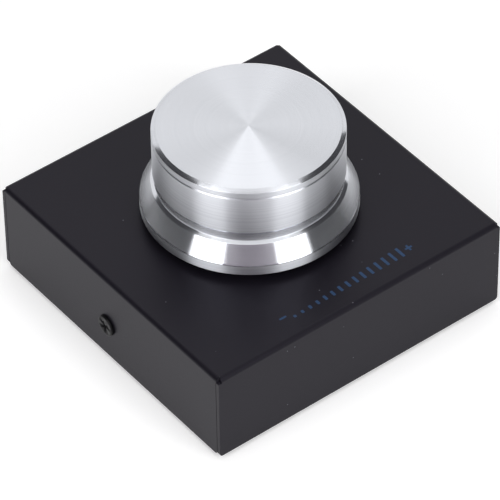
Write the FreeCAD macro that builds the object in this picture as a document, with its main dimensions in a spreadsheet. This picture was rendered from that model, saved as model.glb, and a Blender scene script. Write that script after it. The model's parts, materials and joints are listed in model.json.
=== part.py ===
# USB volume control: a folded steel box that carries a turned aluminium knob on a push-and-turn
# rotary encoder.  The origin is on the ground below the knob's axis, +Z is up, the printed front
# is at -Y, the USB socket looks out at +Y and the cover's screws sit at -X and +X.  Millimetres.
import FreeCAD, Part
import math
import os
import re
import Sketcher

sizes = {
    # folded steel cover
    "boxWidth": 85.0,
    "boxDepth": 85.0,
    "coverHeight": 25.0,
    "coverSheet": 1.0,
    "bendRadius": 1.2,  # outside of the bend
    "cornerRelief": 0.95,  # how far short of the corner each bend stops
    "earDrop": 0.15,  # how far below the bend the wall's ends start
    "seamGap": 0.15,
    "wallCornerRadius": 0.9,
    # base plate with two upturned tabs
    "plateSheet": 1.2,
    "plateGap": 0.2,  # to the cover's walls
    "plateBendRadius": 1.8,  # outside of the bend
    "tabWidth": 22.0,
    "tabAboveScrew": 4.2,
    "tabCornerRadius": 2.0,
    "collarRadius": 2.4,  # drawn collar that holds the screw's thread
    "collarLength": 1.1,
    "tabRelief": 1.0,  # notch each side of a tab
    # stick-on feet
    "footHeight": 1.5,
    "footRadius": 5.0,
    "footInset": 11.0,  # from the box's side to the foot's centre
    # cover screws with a low flat head
    "screwHeight": 10.0,  # above the cover's lower edge
    "screwOffset": 1.0,  # towards the rear
    "screwHeadRadius": 2.8,
    "screwHeadHeight": 0.75,
    "screwHeadEdge": 0.3,  # rounding of the head's edge
    "screwRadius": 1.45,
    "screwLength": 6.0,
    "screwGap": 0.05,  # thread to hole
    "screwHoleRadius": 1.65,  # in the cover's wall
    "driveRadius": 1.45,
    "driveDepth": 0.55,
    "driveSlot": 0.55,
    # circuit board and what holds it
    "boardWidth": 50.0,
    "boardFront": 13.0,  # from the knob's axis forwards
    "boardThickness": 1.6,
    "boardEdgeGap": 4.2,  # from the rear wall to the board
    "boardCornerRadius": 1.5,
    "spacerInset": 4.0,
    "spacerFlats": 5.5,
    "spacerBore": 1.28,
    "boardHoleRadius": 1.7,
    "boardScrewRadius": 1.25,
    "boardScrewLength": 6.0,
    "boardScrewHeadRadius": 2.4,
    "boardScrewHeadHeight": 1.5,
    # USB socket and its way through the cover
    "socketWidth": 8.94,
    "socketHeight": 3.26,
    "socketLength": 7.35,
    "socketShell": 0.3,
    "socketBack": 1.0,
    "socketRecess": 2.9,  # behind the cover's inner face, so that the plug's grip enters the wall
    "tongueWidth": 6.2,
    "tongueThickness": 0.7,
    "tongueShort": 0.7,  # behind the shell's mouth
    "contactWidth": 0.25,
    "contactLength": 4.0,
    "contactSetback": 0.4,  # behind the tongue's tip
    "contactPitch": 0.5,
    "contactThickness": 0.06,
    "plugHoleWidth": 12.6,
    "plugHoleHeight": 7.0,
    "plugHoleRadius": 2.4,
    "endFlat": 0.04,  # straight stretch between the arcs of a rounded shell or can
    # parts on the board
    "chipSide": 7.0,
    "chipHeight": 1.2,
    "chipLift": 0.15,
    "chipInset": 13.9,  # from the board's rear edge
    "leadWidth": 0.3,
    "leadPitch": 0.8,
    "leadReach": 1.0,
    "leadThickness": 0.15,
    "crystalInset": 9.5,  # from the board's left edge to the crystal and capacitor
    "crystalLength": 11.0,
    "crystalWidth": 4.6,
    "crystalHeight": 3.4,
    "resistorLength": 2.0,
    "resistorWidth": 1.25,
    "resistorHeight": 0.55,
    "resistorPitch": 3.4,
    "resistorInset": 12.5,
    "capacitorRadius": 2.5,
    "capacitorHeight": 5.2,
    "capacitorAhead": 12.0,  # of the crystal
    # rotary encoder
    "encoderHeight": 6.4,  # from the board to the cover
    "encoderWidth": 12.4,
    "encoderDepth": 11.7,
    "clipSheet": 0.35,
    "clipSetback": 0.75,  # from the encoder's front and rear faces
    "clipSkirtGap": 1.0,  # from the board to the clip's sides
    "clipLegWidth": 2.1,
    "clipLegReach": 3.0,  # below the board's top
    "bushingFlange": 1.5,
    "bushingRadius": 3.48,
    "bushingLength": 7.0,  # above the cover's inner face
    "bushingHoleGap": 0.15,
    "collarPocketGap": 0.2,
    "collarPlay": 0.05,  # above and below the shaft's collar
    "housingFloor": 0.6,
    "switchPlate": 0.6,
    "switchPocketRadius": 3.6,
    "rotorPocketRadius": 5.25,
    "rotorRadius": 4.9,
    "rotorHeight": 1.4,
    "rotorGap": 0.1,
    "detentCount": 20.0,
    "detentDepth": 0.3,
    "detentLength": 1.4,  # inwards from the rotor's edge
    "springThickness": 0.2,
    "springWidth": 0.9,
    "bumpDrop": 0.22,
    "bumpInset": 0.18,  # from the spring's edge
    "bumpLength": 0.54,
    "bumpRoot": 0.32,  # half the bump's width at the spring
    "bumpCrown": 0.12,  # and at its tip
    "bumpOverlap": 0.02,
    "pinWidth": 0.8,
    "pinThickness": 0.3,
    "pinReach": 3.2,  # below the board's top
    "pinPitch": 2.5,
    "switchPinPitch": 5.0,
    "pinStandOff": 0.7,
    "pinShoulder": 1.6,
    "pinHoleGap": 0.15,
    # encoder shaft and its push switch
    "shaftRadius": 3.0,
    "shaftLength": 20.0,  # above the cover's inner face
    "shaftFlat": 1.5,  # from the axis to the flat
    "shaftFlatLength": 10.0,
    "shaftFit": 0.03,
    "shaftCollarRadius": 3.7,
    "shaftCollarHeight": 0.6,
    "driveFlatWidth": 3.0,
    "driveEndRadius": 2.0,
    "driveEndLength": 1.6,
    "pressTravel": 0.5,
    "plungerRadius": 2.3,
    "plungerFlange": 0.5,
    "stemRadius": 1.1,
    "stemGap": 0.3,
    "touchGap": 0.05,
    "domeRadius": 2.8,
    "domeCrownRadius": 1.26,
    "domeThickness": 0.12,
    # washer and nut
    "washerRadius": 6.0,
    "washerThickness": 0.5,
    "washerGap": 0.15,
    "nutFlats": 10.0,
    "nutHeight": 2.0,
    "threadGap": 0.05,
    # turned knob, heights above its lower edge
    "knobGap": 1.85,  # from the cover to the knob
    "knobHeight": 23.6,
    "knobRadius": 23.13,
    "topBevelWidth": 1.05,
    "topBevelDrop": 0.7,
    "upperGrooveDrop": 2.5,
    "upperGrooveWidth": 0.8,
    "upperGrooveDepth": 0.38,
    "bandFoot": 10.5,
    "neckRadius": 22.75,
    "neckStep": 0.7,
    "ledgeHeight": 7.45,
    "ledgeRadius": 23.45,
    "coneFoot": 2.75,
    "rimRadius": 26.4,
    "recessRadius": 21.0,
    "recessDepth": 6.5,
    "boreDepth": 12.5,
    "boreFit": 0.03,
    "grubHeight": 13.5,
    "grubRadius": 2.0,
    "grubLength": 6.0,
    "grubGap": 0.04,
    "grubKeyFlats": 2.0,
    "grubKeyDepth": 2.5,
}

# levels and places that follow from the sizes
rightSide = "(boxWidth / 2)"
rearSide = "(boxDepth / 2)"
coverTop = "(footHeight + coverHeight)"
ceiling = f"({coverTop} - coverSheet)"
bendFoot = f"({coverTop} - bendRadius)"
screwLevel = "(footHeight + screwHeight)"
plateTop = "(footHeight + plateSheet)"
tabFace = "(boxWidth / 2 - coverSheet - plateGap)"
boardTop = f"({ceiling} - encoderHeight)"
boardBottom = f"({boardTop} - boardThickness)"
boardRear = "(boxDepth / 2 - coverSheet - boardEdgeGap)"
spacerSide = "(boardWidth / 2 - spacerInset)"
spacerFront = "(boardFront - spacerInset)"
spacerRear = f"({boardRear} - spacerInset)"
chipMiddle = f"({boardRear} - chipInset)"
crystalMiddle = "(crystalInset - boardWidth / 2)"
resistorMiddle = "(boardWidth / 2 - resistorInset)"
socketMouth = "(boxDepth / 2 - coverSheet - socketRecess)"
socketLevel = f"({boardTop} + socketHeight / 2)"
bushingFoot = f"({ceiling} - clipSheet - bushingFlange)"
housingTop = bushingFoot
switchPlateTop = f"({boardTop} + switchPlate)"
rotorFoot = f"({housingTop} - springThickness - bumpDrop - rotorGap * 2 - rotorHeight)"
housingShelf = f"({rotorFoot} - rotorGap)"
shaftCollarFoot = f"({bushingFoot} + collarPlay)"
driveFoot = f"({shaftCollarFoot} - driveEndLength)"
domeTop = f"({switchPlateTop} + pressTravel + domeThickness)"
knobFoot = f"({coverTop} + knobGap)"
recessTop = f"({knobFoot} + recessDepth)"
nutFoot = f"({coverTop} + washerThickness)"
beyond = "1.0"  # how far a cutting outline runs past the solid

doc = FreeCAD.newDocument("VolumeControl")
sheet = doc.addObject("Spreadsheet::Sheet", "Sizes")
for row, (alias, value) in enumerate(sizes.items(), start=1):
    sheet.set(f"A{row}", alias)
    sheet.set(f"B{row}", str(value))
    sheet.setAlias(f"B{row}", alias)
doc.recompute()
parts = []


def linked(formula):
    """The formula with every size's name turned into a reference to its cell."""
    return re.sub(r"[A-Za-z]+", lambda w: "Sizes." + w[0] if w[0] in sizes else w[0], formula)


def number(formula):
    """What a formula of sizes is worth now."""
    return float(sheet.evalExpression(linked(formula)))


def bind(thing, prop, formula):
    thing.setExpression(prop, linked(formula))


def new_body(name):
    body = doc.addObject("PartDesign::Body", name)
    body.Label = name
    parts.append(body)
    return body


def place(thing, x="0", y="0", z="0"):
    for axis, formula in (("x", x), ("y", y), ("z", z)):
        bind(thing, f"Placement.Base.{axis}", formula)


def sketch_on(body, plane, x="0", y="0", up="0"):
    """A sketch on one of the body's origin planes, its origin moved by x, y and up in that plane's axes."""
    sketch = body.newObject("Sketcher::SketchObject", body.Name + "_sketch")
    base = [f for f in body.Origin.OriginFeatures if f.Role == plane + "_Plane"]
    sketch.AttachmentSupport = [(base[0], "")]
    sketch.MapMode = "FlatFace"
    for axis, formula in (("x", x), ("y", y), ("z", up)):
        bind(sketch, f"AttachmentOffset.Base.{axis}", formula)
    return sketch


def pin_point(sketch, edge, end, x, y):
    """Fixes one end of an edge at a place given by two formulas."""
    for kind, formula in (("DistanceX", x), ("DistanceY", y)):
        index = sketch.addConstraint(Sketcher.Constraint(kind, edge, end, number(formula)))
        bind(sketch, f"Constraints[{index}]", formula)


def arc_between(start, end, radius):
    """The short arc between two points; a negative radius turns it clockwise."""
    dx, dy = end[0] - start[0], end[1] - start[1]
    chord = math.hypot(dx, dy)
    rise = math.sqrt(max(radius * radius - chord * chord / 4, 0.0)) * (1 if radius > 0 else -1)
    middle = FreeCAD.Vector((start[0] + end[0]) / 2, (start[1] + end[1]) / 2, 0)
    centre = middle + FreeCAD.Vector(-dy, dx, 0) / chord * rise
    first, last = (start, end) if radius > 0 else (end, start)
    angles = [math.atan2(p[1] - centre.y, p[0] - centre.x) for p in (first, last)]
    circle = Part.Circle(centre, FreeCAD.Vector(0, 0, 1), abs(radius))
    return Part.ArcOfCircle(circle, angles[0], angles[1])


def outline(sketch, points):
    """A closed outline.  A point is (x, y), or (x, y, radius) where an arc leads on to the next point."""
    places = [(number(p[0]), number(p[1])) for p in points]
    edges = []
    for i, point in enumerate(points):
        start, end = places[i], places[(i + 1) % len(points)]
        if len(point) == 2:
            line = Part.LineSegment(FreeCAD.Vector(*start, 0), FreeCAD.Vector(*end, 0))
            edges.append((sketch.addGeometry(line), 1, 2))
            continue
        radius = number(point[2])
        arc = sketch.addGeometry(arc_between(start, end, radius))
        edges.append((arc, 1, 2) if radius > 0 else (arc, 2, 1))
    for i, (edge, first, last) in enumerate(edges):
        following = edges[(i + 1) % len(edges)]
        sketch.addConstraint(Sketcher.Constraint("Coincident", edge, last, following[0], following[1]))
    for (edge, first, last), point in zip(edges, points):
        pin_point(sketch, edge, first, point[0], point[1])
        if len(point) == 3:
            index = sketch.addConstraint(Sketcher.Constraint("Radius", edge, abs(number(point[2]))))
            bind(sketch, f"Constraints[{index}]", f"abs({point[2]})")
    return sketch


def circle(sketch, radius, x="0", y="0"):
    centre = FreeCAD.Vector(number(x), number(y), 0)
    ring = sketch.addGeometry(Part.Circle(centre, FreeCAD.Vector(0, 0, 1), number(radius)))
    pin_point(sketch, ring, 3, x, y)
    index = sketch.addConstraint(Sketcher.Constraint("Radius", ring, number(radius)))
    bind(sketch, f"Constraints[{index}]", radius)
    return sketch


def rectangle(sketch, half_width, half_height, x="0", y="0"):
    left, right = f"{x} - ({half_width})", f"{x} + {half_width}"
    low, high = f"{y} - ({half_height})", f"{y} + {half_height}"
    return outline(sketch, [(left, low), (right, low), (right, high), (left, high)])


def rounded_rectangle(sketch, half_width, half_height, radius, x="0", y="0"):
    left, right = f"{x} - ({half_width})", f"{x} + {half_width}"
    low, high = f"{y} - ({half_height})", f"{y} + {half_height}"
    corners = [
        (f"{left} + {radius}", low),
        (f"{right} - {radius}", low, radius),
        (right, f"{low} + {radius}"),
        (right, f"{high} - {radius}", radius),
        (f"{right} - {radius}", high),
        (f"{left} + {radius}", high, radius),
        (left, f"{high} - {radius}"),
        (left, f"{low} + {radius}", radius),
    ]
    return outline(sketch, corners)


def hexagon(sketch, flats):
    """A regular hexagon on the origin, given across its flats."""
    reach = f"({flats} / sqrt(3))"
    corners = [(f"{reach} * cos({60 * i} deg)", f"{reach} * sin({60 * i} deg)") for i in range(6)]
    return outline(sketch, corners)


def pad(body, sketch, length, midplane=False, reverse=False):
    feature = body.newObject("PartDesign::Pad", body.Name + "_pad")
    feature.Profile = sketch
    bind(feature, "Length", length)
    feature.Midplane = midplane
    feature.Reversed = reverse
    doc.recompute()
    return feature


def pocket(body, sketch, length=None, midplane=False, reverse=False):
    """Cuts the sketch out, right through the body where no length is given."""
    before = body.Shape.Volume
    feature = body.newObject("PartDesign::Pocket", body.Name + "_pocket")
    feature.Profile = sketch
    if length is None:
        feature.Type = 1
    else:
        bind(feature, "Length", length)
    feature.Midplane = midplane
    feature.Reversed = reverse
    doc.recompute()
    if body.Shape.Volume > before - 1e-6:
        raise RuntimeError(f"{feature.Name} cuts nothing")
    return feature


def revolve(body, sketch, axis="V_Axis"):
    feature = body.newObject("PartDesign::Revolution", body.Name + "_turning")
    feature.Profile = sketch
    feature.ReferenceAxis = (sketch, [axis])
    feature.Angle = 360
    doc.recompute()
    return feature


def groove(body, sketch, axis="V_Axis"):
    before = body.Shape.Volume
    feature = body.newObject("PartDesign::Groove", body.Name + "_groove")
    feature.Profile = sketch
    feature.ReferenceAxis = (sketch, [axis])
    feature.Angle = 360
    doc.recompute()
    if body.Shape.Volume > before - 1e-6:
        raise RuntimeError(f"{feature.Name} cuts nothing")
    return feature


def mirror(body, features, plane):
    feature = body.newObject("PartDesign::Mirrored", body.Name + "_mirror")
    feature.Originals = features
    base = [f for f in body.Origin.OriginFeatures if f.Role == plane + "_Plane"]
    feature.MirrorPlane = (base[0], [""])
    body.Tip = feature
    doc.recompute()
    return feature


def repeat_round(body, features, count):
    """Copies features evenly about the body's vertical axis."""
    feature = body.newObject("PartDesign::PolarPattern", body.Name + "_pattern")
    feature.Originals = features
    axis = [f for f in body.Origin.OriginFeatures if f.Role == "Z_Axis"]
    feature.Axis = (axis[0], [""])
    feature.Angle = 360
    bind(feature, "Occurrences", count)
    body.Tip = feature
    doc.recompute()
    return feature


def block(name, width, depth, height, x, y, z):
    """A Part::Box centred on x and y that stands on z."""
    box = doc.addObject("Part::Box", name)
    bind(box, "Length", width)
    bind(box, "Width", depth)
    bind(box, "Height", height)
    place(box, f"{x} - ({width}) / 2", f"{y} - ({depth}) / 2", z)
    return box


def group(name, members):
    """Separate solids kept as one node."""
    bundle = doc.addObject("Part::Compound", name)
    bundle.Label = name
    bundle.Links = members
    parts.append(bundle)
    return bundle


def wall_outline(half_bend, half_wall):
    """The face of one wall: rounded lower corners, and ends that stay below the bend."""
    ear = f"({bendFoot} - earDrop)"
    turn = "wallCornerRadius"
    return [
        (f"-({half_bend})", bendFoot),
        (f"-({half_bend})", ear),
        (f"-({half_wall})", ear),
        (f"-({half_wall})", f"footHeight + {turn}", turn),
        (f"{turn} - ({half_wall})", "footHeight"),
        (f"{half_wall} - {turn}", "footHeight", turn),
        (half_wall, f"footHeight + {turn}"),
        (half_wall, ear),
        (half_bend, ear),
        (half_bend, bendFoot),
    ]


def bend_outline(side):
    """The section of the bend between the top and one wall."""
    inner = "(bendRadius - coverSheet)"
    return [
        (side, bendFoot, "bendRadius"),
        (f"{side} - bendRadius", coverTop),
        (f"{side} - bendRadius", ceiling, f"-{inner}"),
        (f"{side} - coverSheet", bendFoot),
    ]


def make_top_cover():
    body = new_body("top_cover")
    panel = sketch_on(body, "XY", up=ceiling)
    rectangle(panel, f"({rightSide} - bendRadius)", f"({rearSide} - bendRadius)")
    pad(body, panel, "coverSheet")
    # side walls at -X and +X end behind the front and rear walls
    bend_half = f"({rearSide} - cornerRelief)"
    wall_half = f"({rearSide} - coverSheet - seamGap)"
    bend = outline(sketch_on(body, "XZ"), bend_outline(rightSide))
    side_bend = pad(body, bend, f"2 * {bend_half}", midplane=True)
    side_wall = sketch_on(body, "YZ", up=f"{rightSide} - coverSheet")
    outline(side_wall, wall_outline(bend_half, wall_half))
    side_pad = pad(body, side_wall, "coverSheet")
    mirror(body, [side_bend, side_pad], "YZ")
    # front and rear walls run the full width
    bend_half = f"({rightSide} - cornerRelief)"
    bend = outline(sketch_on(body, "YZ"), bend_outline(rearSide))
    rear_bend = pad(body, bend, f"2 * {bend_half}", midplane=True)
    rear_wall = sketch_on(body, "XZ", up=f"coverSheet - {rearSide}")
    outline(rear_wall, wall_outline(bend_half, rightSide))
    rear_pad = pad(body, rear_wall, "coverSheet", reverse=True)
    mirror(body, [rear_bend, rear_pad], "XZ")
    # holes for the encoder's bushing, the plug and the two screws
    bushing_hole = circle(sketch_on(body, "XY", up=coverTop), "bushingRadius + bushingHoleGap")
    pocket(body, bushing_hole, "2 * coverSheet")
    plug = rounded_rectangle(
        sketch_on(body, "XZ", y=socketLevel),
        "plugHoleWidth / 2",
        "plugHoleHeight / 2",
        "plugHoleRadius",
    )
    pocket(body, plug, "boxDepth")
    screw_hole = sketch_on(body, "YZ", x="screwOffset", y=screwLevel, up=rightSide)
    screw_cut = pocket(body, circle(screw_hole, "screwHoleRadius"), "2 * coverSheet")
    mirror(body, [screw_cut], "YZ")


def make_base_plate():
    body = new_body("base_plate")
    floor = sketch_on(body, "XY", up="footHeight")
    end = f"({rearSide} - coverSheet - plateGap)"
    waist = f"({tabFace} - plateBendRadius)"
    low = "(screwOffset - tabWidth / 2 - tabRelief)"
    high = "(screwOffset + tabWidth / 2 + tabRelief)"
    half = [
        (tabFace, f"-{end}"),
        (tabFace, low),
        (waist, low),
        (waist, high),
        (tabFace, high),
        (tabFace, end),
    ]
    other_half = [(f"-{x}", y) for x, y in reversed(half)]
    pad(body, outline(floor, half + other_half), "plateSheet")
    # one upturned tab, its bend and its drawn collar, then the other side
    tab_foot = "(footHeight + plateBendRadius)"
    inner = "(plateBendRadius - plateSheet)"
    bend = sketch_on(body, "XZ", up="-screwOffset")
    section = [
        (f"{tabFace} - plateBendRadius", "footHeight", "plateBendRadius"),
        (tabFace, tab_foot),
        (f"{tabFace} - plateSheet", tab_foot, f"-{inner}"),
        (f"{tabFace} - plateBendRadius", plateTop),
    ]
    bend_pad = pad(body, outline(bend, section), "tabWidth", midplane=True)
    tab_top = f"({screwLevel} + tabAboveScrew)"
    turn = "tabCornerRadius"
    face = sketch_on(body, "YZ", x="screwOffset", up=f"{tabFace} - plateSheet")
    shape = [
        ("-tabWidth / 2", tab_foot),
        ("tabWidth / 2", tab_foot),
        ("tabWidth / 2", f"{tab_top} - {turn}", turn),
        (f"tabWidth / 2 - {turn}", tab_top),
        (f"{turn} - tabWidth / 2", tab_top, turn),
        ("-tabWidth / 2", f"{tab_top} - {turn}"),
    ]
    tab_pad = pad(body, outline(face, shape), "plateSheet")
    collar_end = f"{tabFace} - plateSheet - collarLength"
    collar = sketch_on(body, "YZ", x="screwOffset", y=screwLevel, up=collar_end)
    collar_pad = pad(body, circle(collar, "collarRadius"), "collarLength + plateSheet / 2")
    hole = sketch_on(body, "YZ", x="screwOffset", y=screwLevel, up=tabFace)
    tapped = circle(hole, "screwRadius + screwGap")
    hole_cut = pocket(body, tapped, "plateSheet + 2 * collarLength")
    mirror(body, [bend_pad, tab_pad, collar_pad, hole_cut], "YZ")


def make_feet():
    side = "(boxWidth / 2 - footInset)"
    end = "(boxDepth / 2 - footInset)"
    corners = {
        "foot_front_left": (f"-{side}", f"-{end}"),
        "foot_front_right": (side, f"-{end}"),
        "foot_rear_left": (f"-{side}", end),
        "foot_rear_right": (side, end),
    }
    for name, (x, y) in corners.items():
        body = new_body(name)
        pad(body, circle(sketch_on(body, "XY"), "footRadius"), "footHeight")
        place(body, x, y)


def cross_drive(body, reach, slot, depth, plane, level):
    """A cross recess for a driver, as two crossed slots."""
    for width, height in ((reach, f"{slot} / 2"), (f"{slot} / 2", reach)):
        pocket(body, rectangle(sketch_on(body, plane, up=level), width, height), depth)


def make_cover_screws():
    for name, side in (("cover_screw_left", -1), ("cover_screw_right", 1)):
        body = new_body(name)
        # drawn along X with the head's seat at x = 0 and the shank towards -X
        edge = "screwHeadEdge"
        profile = [
            ("screwHeadHeight", "0"),
            ("screwHeadHeight", f"screwHeadRadius - {edge}", edge),
            (f"screwHeadHeight - {edge}", "screwHeadRadius"),
            ("0", "screwHeadRadius"),
            ("0", "screwRadius"),
            ("-screwLength", "screwRadius"),
            ("-screwLength", "0"),
        ]
        revolve(body, outline(sketch_on(body, "XZ"), profile), "H_Axis")
        cross_drive(body, "driveRadius", "driveSlot", "driveDepth", "YZ", "screwHeadHeight")
        place(body, f"{side} * {rightSide}", "screwOffset", screwLevel)
        if side < 0:
            body.Placement.Rotation = FreeCAD.Rotation(FreeCAD.Vector(0, 0, 1), 180)


def make_circuit_board():
    body = new_body("circuit_board")
    board = sketch_on(body, "XY", up=boardBottom)
    middle = f"(({boardRear} - boardFront) / 2)"
    length = f"(({boardRear} + boardFront) / 2)"
    rounded_rectangle(board, "boardWidth / 2", length, "boardCornerRadius", y=middle)
    pad(body, board, "boardThickness")
    for y in (f"-{spacerFront}", spacerRear):
        hole = circle(sketch_on(body, "XY", up=boardTop), "boardHoleRadius", spacerSide, y)
        mirror(body, [pocket(body, hole)], "YZ")
    # slots for the encoder's clip and holes for its pins
    legs = sketch_on(body, "XY", up=boardTop)
    leg_middle = "(encoderWidth / 2 - clipSheet / 2)"
    rectangle(legs, "clipSheet / 2 + pinHoleGap", "clipLegWidth / 2 + pinHoleGap", leg_middle)
    mirror(body, [pocket(body, legs)], "YZ")
    pin_line = "(encoderDepth / 2 + pinStandOff)"
    for x, y in pin_places(pin_line):
        hole = sketch_on(body, "XY", up=boardTop)
        pocket(body, rectangle(hole, "pinWidth / 2 + pinHoleGap", "pinThickness / 2 + pinHoleGap", x, y))


def pin_places(line):
    """Where the encoder's five pins meet the board: three in front, the switch's two behind."""
    front = [(f"{i} * pinPitch", f"-{line}") for i in (-1, 0, 1)]
    rear = [(f"{i} * switchPinPitch / 2", line) for i in (-1, 1)]
    return front + rear


def make_board_spacers():
    """Threaded hexagon spacers, welded to the base plate."""
    corners = {
        "spacer_front_left": (f"-{spacerSide}", f"-{spacerFront}"),
        "spacer_front_right": (spacerSide, f"-{spacerFront}"),
        "spacer_rear_left": (f"-{spacerSide}", spacerRear),
        "spacer_rear_right": (spacerSide, spacerRear),
    }
    for name, (x, y) in corners.items():
        body = new_body(name)
        pad(body, hexagon(sketch_on(body, "XY", up=plateTop), "spacerFlats"), f"{boardBottom} - {plateTop}")
        pocket(body, circle(sketch_on(body, "XY", up=boardBottom), "spacerBore"))
        place(body, x, y)


def make_board_screws():
    screws = []
    for x in (f"-{spacerSide}", spacerSide):
        for y in (f"-{spacerFront}", spacerRear):
            body = doc.addObject("PartDesign::Body", "board_screw")
            profile = [
                ("0", "-boardScrewLength"),
                ("boardScrewRadius", "-boardScrewLength"),
                ("boardScrewRadius", "0"),
                ("boardScrewHeadRadius", "0"),
                ("boardScrewHeadRadius", "boardScrewHeadHeight"),
                ("0", "boardScrewHeadHeight"),
            ]
            revolve(body, outline(sketch_on(body, "XZ"), profile))
            place(body, x, y, boardTop)
            screws.append(body)
    group("board_screws", screws)


def make_usb_socket():
    body = new_body("usb_socket_shell")
    mouth = f"-{socketMouth}"
    half_width, half_height = "(socketWidth / 2)", "(socketHeight / 2)"
    tube = sketch_on(body, "XZ", y=socketLevel, up=mouth)
    rounded_rectangle(tube, half_width, half_height, f"({half_height} - endFlat / 2)")
    pad(body, tube, "socketLength")
    inside = sketch_on(body, "XZ", y=socketLevel, up=mouth)
    turn = f"({half_height} - socketShell - endFlat / 2)"
    rounded_rectangle(inside, f"({half_width} - socketShell)", f"({half_height} - socketShell)", turn)
    pocket(body, inside, "socketLength - socketBack", reverse=True)
    body = new_body("usb_socket_tongue")
    root = sketch_on(body, "XZ", y=socketLevel, up=f"socketLength - socketBack - {socketMouth}")
    rectangle(root, "tongueWidth / 2", "tongueThickness / 2")
    pad(body, root, "socketLength - socketBack - tongueShort", reverse=True)
    # six contacts on each face of the tongue
    contacts = []
    middle = f"{socketMouth} - tongueShort - contactSetback - contactLength / 2"
    size = ("contactWidth", "contactLength", "contactThickness")
    for level in ("tongueThickness / 2", "(-tongueThickness / 2 - contactThickness)"):
        for i in range(-5, 6, 2):
            place_of_one = (f"{i} * contactPitch", middle, f"{socketLevel} + {level}")
            contacts.append(block("contact", *size, *place_of_one))
    group("usb_socket_contacts", contacts)


def chip_lead(width, depth, x, y):
    return block("lead", width, depth, "leadThickness", x, f"{chipMiddle} + {y}", boardTop)


def make_board_parts():
    body = new_body("microcontroller")
    chip = sketch_on(body, "XY", up=f"{boardTop} + chipLift")
    pad(body, rectangle(chip, "chipSide / 2", "chipSide / 2"), "chipHeight")
    place(body, "0", chipMiddle)
    # seven leads on each of its four sides
    leads = []
    for i in range(-3, 4):
        along = f"{i} * leadPitch"
        for side in (-1, 1):
            out = f"{side} * (chipSide + leadReach) / 2"
            leads.append(chip_lead("leadWidth", "leadReach", along, out))
            leads.append(chip_lead("leadReach", "leadWidth", out, along))
    group("microcontroller_leads", leads)
    body = new_body("crystal")
    can = sketch_on(body, "XY", up=boardTop)
    rounded_rectangle(can, "crystalLength / 2", "crystalWidth / 2", "(crystalWidth / 2 - endFlat / 2)")
    pad(body, can, "crystalHeight")
    place(body, crystalMiddle, chipMiddle)
    # five resistors in two columns
    resistors = []
    size = ("resistorLength", "resistorWidth", "resistorHeight")
    for i in range(5):
        x = f"{resistorMiddle} + {i % 2} * resistorPitch"
        y = f"{chipMiddle} + {i // 2 - 1} * resistorPitch"
        resistors.append(block("resistor", *size, x, y, boardTop))
    group("resistors", resistors)
    body = new_body("smoothing_capacitor")
    pad(body, circle(sketch_on(body, "XY", up=boardTop), "capacitorRadius"), "capacitorHeight")
    place(body, crystalMiddle, f"{chipMiddle} - capacitorAhead")


def encoder_rectangle(sketch):
    """The outline that the encoder's layers share, inside the legs of its clip."""
    return rectangle(sketch, "encoderWidth / 2 - clipSheet", "encoderDepth / 2")


def make_encoder_bushing():
    body = new_body("encoder_bushing")
    flange = sketch_on(body, "XY", up=bushingFoot)
    pad(body, encoder_rectangle(flange), "bushingFlange")
    tube = circle(sketch_on(body, "XY", up=bushingFoot), "bushingRadius")
    pad(body, tube, f"{ceiling} + bushingLength - {bushingFoot}")
    # the shaft's bore, wider at the foot for the shaft's collar
    bore = "(shaftRadius + shaftFit)"
    wide = "(shaftCollarRadius + collarPocketGap)"
    pocket_top = f"({shaftCollarFoot} + shaftCollarHeight + collarPlay)"
    inside = [
        ("0", f"{bushingFoot} - {beyond}"),
        (wide, f"{bushingFoot} - {beyond}"),
        (wide, pocket_top),
        (bore, pocket_top),
        (bore, f"{ceiling} + bushingLength + {beyond}"),
        ("0", f"{ceiling} + bushingLength + {beyond}"),
    ]
    groove(body, outline(sketch_on(body, "XZ"), inside))


def make_encoder_clip():
    body = new_body("encoder_clip")
    side = "(encoderWidth / 2)"
    inner = f"({side} - clipSheet)"
    skirt = f"({boardTop} + clipSkirtGap)"
    under = f"({ceiling} - clipSheet)"
    section = [
        (f"-{side}", skirt),
        (f"-{inner}", skirt),
        (f"-{inner}", under),
        (inner, under),
        (inner, skirt),
        (side, skirt),
        (side, under, "clipSheet"),
        (inner, ceiling),
        (f"-{inner}", ceiling, "clipSheet"),
        (f"-{side}", under),
    ]
    saddle = outline(sketch_on(body, "XZ"), section)
    pad(body, saddle, "encoderDepth - 2 * clipSetback", midplane=True)
    # one leg through the board on each side
    leg = sketch_on(body, "YZ", y=skirt, up=inner)
    half_leg = "((clipSkirtGap + clipLegReach) / 2)"
    rectangle(leg, "clipLegWidth / 2", half_leg, y=f"(-{half_leg})")
    mirror(body, [pad(body, leg, "clipSheet")], "YZ")
    pocket(body, circle(sketch_on(body, "XY", up=ceiling), "bushingRadius + bushingHoleGap"), "2 * clipSheet")


def make_encoder_housing():
    body = new_body("encoder_housing")
    shell = encoder_rectangle(sketch_on(body, "XY", up=switchPlateTop))
    pad(body, shell, f"{housingTop} - {switchPlateTop}")
    # the switch's pocket below, the rotor's above, and the stem's hole between them
    inside = [
        ("0", f"{switchPlateTop} - {beyond}"),
        ("switchPocketRadius", f"{switchPlateTop} - {beyond}"),
        ("switchPocketRadius", f"{housingShelf} - housingFloor"),
        ("stemRadius + stemGap", f"{housingShelf} - housingFloor"),
        ("stemRadius + stemGap", housingShelf),
        ("rotorPocketRadius", housingShelf),
        ("rotorPocketRadius", f"{housingTop} + {beyond}"),
        ("0", f"{housingTop} + {beyond}"),
    ]
    groove(body, outline(sketch_on(body, "XZ"), inside))


def make_switch_plate():
    body = new_body("switch_plate")
    pad(body, encoder_rectangle(sketch_on(body, "XY", up=boardTop)), "switchPlate")


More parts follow.
